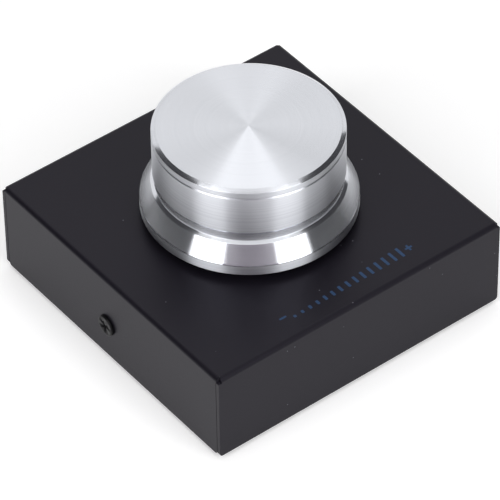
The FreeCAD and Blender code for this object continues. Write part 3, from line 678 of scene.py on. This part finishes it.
# finishes of the inner pieces and the fasteners, by material slot.  "grain" is the size of the
# pattern along x, y and z, "depth" its relief, and "turned" draws it as rings about the axis.
# "edge" rounds the frame's own pieces; finishes without it are for pieces made further on.
finishes = {
    # black zinc on cold-headed steel: the film takes most of the light, and leaves it satin
    "screw_steel": {
        "name": "blackZincSteel", "color": "#0d0d0f", "second": "#08080a", "roughness": 0.34,
        "metallic": 0.1, "index": 1.22, "grain": (0.25, 0.25, 0.25), "depth": 0.003,
    },
    # electro-galvanised steel sheet, painted black like the cover but thinner and smoother
    "plate_paint": {
        "name": "paintedSteelPlate", "color": "#101012", "second": "#0c0c0e", "roughness": 0.48,
        "metallic": 0.0, "grain": (0.5, 0.5, 0.5), "depth": 0.005, "edge": 0.12,
    },
    # moulded silicone rubber: matt, takes dust
    "foot_rubber": {
        "name": "mouldedRubber", "color": "#18181a", "second": "#222224", "roughness": 0.85,
        "metallic": 0.0, "grain": (0.4, 0.4, 0.4), "depth": 0.02, "edge": 0.3,
    },
    # glass-fibre laminate under green solder mask: glossy, with the weave showing faintly
    "board_laminate": {
        "name": "solderMaskLaminate", "color": "#12502e", "second": "#0e4226", "roughness": 0.28,
        "metallic": 0.0, "grain": (0.45, 0.45, 0.45), "depth": 0.004, "edge": 0.06,
    },
    # clear zinc on small screws
    "small_screw_steel": {
        "name": "zincPlatedSteel", "color": "#b4b6ba", "second": "#9fa2a8", "roughness": 0.35,
        "metallic": 1.0, "grain": (0.3, 0.3, 0.3), "depth": 0.002, "edge": 0.08,
    },
    # brass bar, turned: yellow, with lathe marks along its length
    "spacer_brass": {
        "name": "turnedBrass", "color": "#c9a655", "second": "#b08d40", "roughness": 0.30,
        "metallic": 1.0, "grain": (2.0, 2.0, 0.12), "depth": 0.003, "edge": 0.08,
    },
    # drawn stainless shell
    "socket_steel": {
        "name": "drawnStainlessSteel", "color": "#b9bbbd", "second": "#a7a9ac", "roughness": 0.25,
        "metallic": 1.0, "grain": (0.2, 2.5, 0.2), "depth": 0.002, "edge": 0.05,
    },
    # glass-filled nylon, moulded: dark and dull
    "tongue_plastic": {
        "name": "mouldedNylon", "color": "#1b1b1d", "second": "#232326", "roughness": 0.55,
        "metallic": 0.0, "grain": (0.2, 0.2, 0.2), "depth": 0.004, "edge": 0.03,
    },
    # gold flash over nickel
    "contact_gilt": {
        "name": "giltContacts", "color": "#dcb765", "second": "#c9a24f", "roughness": 0.22,
        "metallic": 1.0, "grain": (0.1, 1.0, 0.1), "depth": 0.001, "edge": 0.01,
    },
    # transfer-moulded epoxy: fine matt spark texture
    "chip_resin": {
        "name": "mouldedEpoxy", "color": "#1d1d1f", "second": "#252527", "roughness": 0.7,
        "metallic": 0.0, "grain": (0.12, 0.12, 0.12), "depth": 0.006, "edge": 0.05,
    },
    # tinned copper alloy
    "tinned_leads": {
        "name": "tinnedLeads", "color": "#c6c7c9", "second": "#acaeb2", "roughness": 0.32,
        "metallic": 1.0, "grain": (0.3, 0.3, 0.3), "depth": 0.002, "edge": 0.02,
    },
    # drawn nickel-silver can
    "crystal_can": {
        "name": "drawnNickelSilver", "color": "#c3c2bd", "second": "#b0afaa", "roughness": 0.24,
        "metallic": 1.0, "grain": (1.5, 0.25, 0.25), "depth": 0.002, "edge": 0.2,
    },
    # alumina chip under a black glaze
    "resistor_ceramic": {
        "name": "glazedAlumina", "color": "#202124", "second": "#2b2c30", "roughness": 0.35,
        "metallic": 0.0, "grain": (0.15, 0.15, 0.15), "depth": 0.003, "edge": 0.03,
    },
    # drawn aluminium can
    "capacitor_can": {
        "name": "drawnAluminiumCan", "color": "#d3d5d8", "second": "#bfc2c6", "roughness": 0.30,
        "metallic": 1.0, "grain": (0.25, 0.25, 2.0), "depth": 0.002, "edge": 0.25,
    },
    # zinc alloy, die cast
    "bushing_zinc": {
        "name": "dieCastZinc", "color": "#a9abad", "second": "#949699", "roughness": 0.42,
        "metallic": 1.0, "grain": (0.3, 0.3, 0.3), "depth": 0.006, "edge": 0.08,
    },
    # cold-rolled, nickel-plated strip
    "clip_steel": {
        "name": "nickelPlatedStrip", "color": "#bcbab4", "second": "#a8a6a0", "roughness": 0.28,
        "metallic": 1.0, "grain": (2.5, 0.2, 0.2), "depth": 0.002, "edge": 0.05,
    },
    # moulded polyester
    "encoder_plastic": {
        "name": "mouldedPolyester", "color": "#26272a", "second": "#1e1f22", "roughness": 0.5,
        "metallic": 0.0, "grain": (0.3, 0.3, 0.3), "depth": 0.004, "edge": 0.08,
    },
    # brown phenolic paper laminate, punched
    "switch_laminate": {
        "name": "phenolicLaminate", "color": "#5b3a20", "second": "#4b2f1a", "roughness": 0.45,
        "metallic": 0.0, "grain": (0.2, 2.0, 0.2), "depth": 0.003, "edge": 0.04,
    },
    # rolled spring strip
    "spring_steel": {
        "name": "rolledSpringSteel", "color": "#8d9096", "second": "#7a7d84", "roughness": 0.28,
        "metallic": 1.0, "grain": (2.0, 0.15, 0.15), "depth": 0.001, "edge": 0.02,
    },
    # stainless dome, pressed from rolled strip
    "dome_steel": {
        "name": "pressedStainlessDome", "color": "#c2c3c4", "second": "#b0b1b3", "roughness": 0.2,
        "metallic": 1.0, "grain": (1.5, 0.2, 0.2), "depth": 0.001,
    },
    # blanked steel washer, zinc plated
    "washer_steel": {
        "name": "blankedZincSteel", "color": "#b2b4b8", "second": "#9c9fa5", "roughness": 0.36,
        "metallic": 1.0, "grain": (0.4, 0.4, 0.4), "depth": 0.003, "edge": 0.06,
    },
    # nickel-plated nut, milled from bar
    "nut_plating": {
        "name": "nickelPlatedNut", "color": "#c4c1b9", "second": "#aeaba3", "roughness": 0.25,
        "metallic": 1.0, "grain": (0.3, 0.3, 0.12), "depth": 0.002, "edge": 0.12,
    },
    # natural acetal, moulded: an even, slightly waxy white
    "rotor_plastic": {
        "name": "mouldedAcetal", "color": "#d9d6cc", "second": "#cfccc2", "roughness": 0.4,
        "metallic": 0.0, "grain": (0.5, 0.5, 0.5), "depth": 0.003, "edge": 0.05,
    },
    # the same acetal on the small plunger, a little yellower
    "plunger_plastic": {
        "name": "mouldedAcetalPlunger", "color": "#c9c5ba", "second": "#bdb9ae", "roughness": 0.4,
        "metallic": 0.0, "grain": (0.4, 0.4, 0.4), "depth": 0.002, "edge": 0.04,
    },
    # free-cutting aluminium shaft, turned
    "shaft_metal": {
        "name": "turnedShaft", "color": "#d2d4d7", "second": "#bcbfc4", "roughness": 0.3,
        "metallic": 1.0, "grain": (0.2, 0.2, 0.2), "depth": 0.002, "edge": 0.06, "turned": True,
    },
    # black oxide on hardened steel: oily, dark grey
    "grub_steel": {
        "name": "blackOxideSteel", "color": "#2a2a2c", "second": "#1d1d1f", "roughness": 0.35,
        "metallic": 0.9, "grain": (0.3, 0.3, 0.3), "depth": 0.002, "edge": 0.06,
    },
}

commonIndex = 1.5  # of plastics and glazes, and what a metal keeps
glossSpread = 0.15  # how far a finish's roughness strays, as a share of it


def makeFinish(look):
    material, tree = newMaterial(look["name"])
    place = addNode(tree, "ShaderNodeTexCoord").outputs["Object"]
    if look.get("turned"):
        radius, height = aboutAxis(tree, place)
        section = addNode(tree, "ShaderNodeCombineXYZ", {}, {"X": radius, "Z": height})
        place = section.outputs[0]
    sized = addNode(
        tree,
        "ShaderNodeMapping",
        {"Scale": [1 / (size * mm) for size in look["grain"]]},
        {"Vector": place},
    )
    grain = addNode(
        tree,
        "ShaderNodeTexNoise",
        {"Scale": 1.0, "Detail": 3.0, "Roughness": 0.55},
        {"Vector": sized.outputs[0]},
    )
    tone = addNode(
        tree,
        "ShaderNodeMix",
        {"data_type": "RGBA", "A": linear(look["color"]), "B": linear(look["second"])},
        {"Factor": grain.outputs["Fac"]},
    )
    low, high = look["roughness"] * (1 - glossSpread), look["roughness"] * (1 + glossSpread)
    gloss = addNode(
        tree,
        "ShaderNodeMapRange",
        {"To Min": low, "To Max": high},
        {"Value": grain.outputs["Fac"]},
    )
    relief = addNode(
        tree,
        "ShaderNodeBump",
        {"Distance": look["depth"] * mm, "Strength": 1.0},
        {"Height": grain.outputs["Fac"]},
    )
    shader = addNode(
        tree,
        "ShaderNodeBsdfPrincipled",
        {"Metallic": look["metallic"], "IOR": look.get("index", commonIndex)},
        {
            "Base Color": tone.outputs["Result"],
            "Roughness": gloss.outputs["Result"],
            "Normal": relief.outputs["Normal"],
        },
    )
    addNode(tree, "ShaderNodeOutputMaterial", {}, {"Surface": shader.outputs[0]})
    return material


finishOf = {slot: makeFinish(look) for slot, look in finishes.items()}
for name, node in nodes.items():
    slot = slotOf[name]
    if "edge" in finishes.get(slot, {}):
        dress(node, finishOf[slot])
        softenEdges(node, finishes[slot]["edge"])
print("inner pieces finished:", len(finishOf), "finishes")

for name, side in (("left", -1), ("right", 1)):
    screw = makeCoverScrew("flat_head_screw_" + name, side, screwLook)
    dress(screw, finishOf["screw_steel"])
    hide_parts("cover_screw_" + name)
    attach(screw, "housing")
print("cover screws driven")

# snap dome under the plunger: a crowned disc; the real one flattens as the knob is pressed
domeLook = {
    "thickness": 0.12,
    "steps": 10,
    "turns": 64,
    "flattened": 0.18,  # share of its height that is left at the end of the press
}


def crownedCurve(reach, foot, height, steps):
    # a parabola from its crown on the axis down to its rim
    shares = [k / steps for k in range(steps + 1)]
    return [Vector((reach * share, foot + height * (1 - share ** 2))) for share in shares]


def makeSnapDome(look):
    low, high = [corner.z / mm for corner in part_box("switch_dome")]
    reach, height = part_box("switch_dome")[1].x / mm, high - low
    outer = crownedCurve(reach, low, height, look["steps"])
    height -= look["thickness"]
    reach *= math.sqrt(height / (height + look["thickness"]))
    inner = crownedCurve(reach, low, height, look["steps"])
    dome = meshPiece("snap_dome", turnedMesh("snap_dome", outer + inner[::-1], look["turns"]))
    dress(dome, finishOf["dome_steel"])
    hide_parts("switch_dome")
    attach(dome, "housing")
    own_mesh(dome)


makeSnapDome(domeLook)
print("snap dome pressed")

# printed scale: a ramp of bars between a minus and a plus, in blue screen-printing ink.  The ink
# dries to a thin satin film with a slightly uneven tone.
rampLook = {
    "name": "screenPrintingInk",
    "left": -19.0,
    "right": 21.0,
    "baseline": -37.1,  # foot of the bars, from the middle towards the front
    "bars": 15,
    "barWidth": 0.75,
    "barCorner": 0.6,  # rounding of a bar, as a share of half its width
    "lowest": 0.8,
    "highest": 3.4,
    "signReach": 1.0,
    "signGap": 2.6,  # from the middle of a sign to that of the nearest bar
    "signCorner": 0.9,  # rounding of the minus, as a share of half its width
    "stroke": 0.28,  # half of the signs' line width
    "film": 0.02,  # thickness of the ink
    "color": "#1e3b5e",
    "second": "#1a3453",
    "index": 1.36,
    "metallic": 0.0,
    "roughness": 0.5,
    "grain": (0.35, 0.35, 0.35),
    "depth": 0.003,
}


def roundEnded(x0, x1, y0, y1, radius, steps=6):
    # a rectangle with rounded corners, as a loop of (x, y)
    points = []
    corners = [
        (x1 - radius, y1 - radius),
        (x0 + radius, y1 - radius),
        (x0 + radius, y0 + radius),
        (x1 - radius, y0 + radius),
    ]
    for quarter, (x, y) in enumerate(corners):
        for k in range(steps + 1):
            a = math.pi / 2 * (quarter + k / steps)
            points.append((x + radius * math.cos(a), y + radius * math.sin(a)))
    return points


def makeRamp(look, coverTop):
    base, stroke, reach = look["baseline"], look["stroke"], look["signReach"]
    middle = base + look["highest"] / 2
    left, right = look["left"] + reach, look["right"] - reach
    corner = stroke * look["signCorner"]
    minus = roundEnded(left - reach, left + reach, middle - stroke, middle + stroke, corner)
    plus = crossOutline(reach, stroke, right, middle)
    outlines = [minus, plus]
    first, last = left + look["signGap"], right - look["signGap"]
    half = look["barWidth"] / 2
    for k in range(look["bars"]):
        share = k / (look["bars"] - 1)
        x = first + (last - first) * share
        rise = look["lowest"] + (look["highest"] - look["lowest"]) * share
        corner = half * look["barCorner"]
        outlines.append(roundEnded(x - half, x + half, base, base + rise, corner))
    mesh = prismMesh("printed_ramp", outlines, coverTop, coverTop + look["film"])
    return meshPiece("printed_ramp", mesh)


ramp = makeRamp(rampLook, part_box("top_cover")[1].z / mm)
dress(ramp, makeFinish(rampLook))
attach(ramp, "housing")
print("scale printed")

# floor, cards and lamps of a small product studio, placed round the camera's azimuth
studioLook = {
    "floorColor": "#f2f2f2",
    "floorSize": 6000,
    "floorLift": 0.27,  # what only the eye and reflections get, so that the paper looks white
    "ambient": 0.5,  # the room's light on the surfaces
    "white": 1.0,  # what the eye and reflections get of the room
    "softboxes": {
        "key_left": {"turn": -40, "elevation": 34, "width": 860, "height": 1050, "power": 9.0},
        "key_right": {"turn": 40, "elevation": 34, "width": 860, "height": 1050, "power": 9.0},
    },
    "lampDistance": 1300,
    # curved cards for the metal to reflect: each stands on the floor between two bearings from
    # the camera's, and reaches up to the elevation "top" as seen from the piece
    "flagSteps": 24,
    "flags": {
        "flag_left": {"from": -124, "to": -52, "top": 56.5, "distance": 1800, "color": "#646467"},
        "flag_right": {"from": 52, "to": 134, "top": 56.5, "distance": 1800, "color": "#646467"},
        "low_left": {"from": -134, "to": -58.5, "top": 14, "distance": 420, "color": "#0c0c0d"},
        "low_right": {"from": 58.5, "to": 134, "top": 14, "distance": 420, "color": "#0c0c0d"},
        "flag_camera": {"from": -25.5, "to": 25.5, "top": 60, "distance": 950, "color": "#a59da5"},
    },
    # a bright panel overhead: (distance towards the viewer, half its width there), in heights
    "panel": {
        "height": 1200,
        "outline": [(-1.058, 0.004), (-0.5, 0.134), (0, 0.335), (0.3, 0.49)],
        "strength": 1.4,
    },
}


def seenByEye(tree):
    # 1 for camera, glossy and transmission rays, 0 for the light that falls on surfaces
    rays = addNode(tree, "ShaderNodeLightPath")
    first = addNode(
        tree,
        "ShaderNodeMath",
        {"operation": "MAXIMUM"},
        {0: rays.outputs["Is Camera Ray"], 1: rays.outputs["Is Glossy Ray"]},
    )
    return addNode(
        tree,
        "ShaderNodeMath",
        {"operation": "MAXIMUM"},
        {0: first.outputs[0], 1: rays.outputs["Is Transmission Ray"]},
    ).outputs[0]


def makeFloor(look):
    half = look["floorSize"] / 2 * mm
    corners = [(-half, -half, 0), (half, -half, 0), (half, half, 0), (-half, half, 0)]
    mesh = bpy.data.meshes.new("floor")
    mesh.from_pydata(corners, [], [(0, 1, 2, 3)])
    floor = meshPiece("floor", mesh)
    material, tree = newMaterial("matPaper")
    paint = addNode(tree, "ShaderNodeBsdfDiffuse", {"Color": linear(look["floorColor"])})
    lift = addNode(
        tree,
        "ShaderNodeMath",
        {"operation": "MULTIPLY", 1: look["floorLift"]},
        {0: seenByEye(tree)},
    )
    glow = addNode(tree, "ShaderNodeEmission", {}, {"Strength": lift.outputs[0]})
    both = addNode(tree, "ShaderNodeAddShader", {}, {0: paint.outputs[0], 1: glow.outputs[0]})
    addNode(tree, "ShaderNodeOutputMaterial", {}, {"Surface": both.outputs[0]})
    dress(floor, material)


def makeFlag(name, card, steps, viewAzimuth):
    distance = card["distance"] * mm
    height = distance * math.tan(math.radians(card["top"]))
    points, faces = [], []
    for k in range(steps + 1):
        turn = card["from"] + (card["to"] - card["from"]) * k / steps
        foot = direction(viewAzimuth + turn, 0) * distance
        points += [foot, foot + up * height]
    for k in range(steps):
        faces.append((2 * k, 2 * k + 1, 2 * k + 3, 2 * k + 2))
    mesh = bpy.data.meshes.new(name)
    mesh.from_pydata(points, [], faces)
    flag = meshPiece(name, mesh)
    flag.visible_camera = False
    flag.visible_shadow = False
    material, tree = newMaterial("paintedCard")
    paint = addNode(tree, "ShaderNodeBsdfDiffuse", {"Color": linear(card["color"])})
    addNode(tree, "ShaderNodeOutputMaterial", {}, {"Surface": paint.outputs[0]})
    dress(flag, material)


def makePanel(card, viewAzimuth):
    height = card["height"] * mm
    towards, aside = direction(viewAzimuth, 0), direction(viewAzimuth + 90, 0)
    right = [(towards * t + aside * w + up) * height for t, w in card["outline"]]
    left = [(towards * t - aside * w + up) * height for t, w in card["outline"]]
    mesh = bpy.data.meshes.new("panel_overhead")
    mesh.from_pydata(right + left[::-1], [], [tuple(range(2 * len(right)))])
    panel = meshPiece("panel_overhead", mesh)
    panel.visible_camera = False
    panel.visible_shadow = False
    material, tree = newMaterial("litOpalPanel")
    glow = addNode(tree, "ShaderNodeEmission", {"Strength": card["strength"]})
    addNode(tree, "ShaderNodeOutputMaterial", {}, {"Surface": glow.outputs[0]})
    dress(panel, material)


def makeStudio(look, viewAzimuth):
    makeFloor(look)
    makePanel(look["panel"], viewAzimuth)
    for name, card in look["flags"].items():
        makeFlag(name, card, look["flagSteps"], viewAzimuth)
    for name, box in look["softboxes"].items():
        lamp = bpy.data.lights.new(name, "AREA")
        lamp.shape = "RECTANGLE"
        lamp.size = box["width"] * mm
        lamp.size_y = box["height"] * mm
        lamp.energy = box["power"]
        softbox = bpy.data.objects.new(name, lamp)
        toLamp = direction(viewAzimuth + box["turn"], box["elevation"])
        softbox.location = toLamp * look["lampDistance"] * mm
        softbox.rotation_mode = "QUATERNION"
        softbox.rotation_quaternion = (-toLamp).to_track_quat("-Z", "Y")
        softbox.visible_camera = False
        bpy.context.scene.collection.objects.link(softbox)
    world = bpy.data.worlds.new("studio")
    world.use_nodes = True
    tree = world.node_tree
    tree.nodes.clear()
    room, white = [
        addNode(tree, "ShaderNodeBackground", {"Color": (1, 1, 1, 1), "Strength": strength})
        for strength in (look["ambient"], look["white"])
    ]
    both = addNode(
        tree,
        "ShaderNodeMixShader",
        {},
        {0: seenByEye(tree), 1: room.outputs[0], 2: white.outputs[0]},
    )
    addNode(tree, "ShaderNodeOutputWorld", {}, {"Surface": both.outputs[0]})
    bpy.context.scene.world = world


makeStudio(studioLook, cameraLook["azimuth"])
bpy.context.scene.view_settings.view_transform = "Standard"
print("studio set")
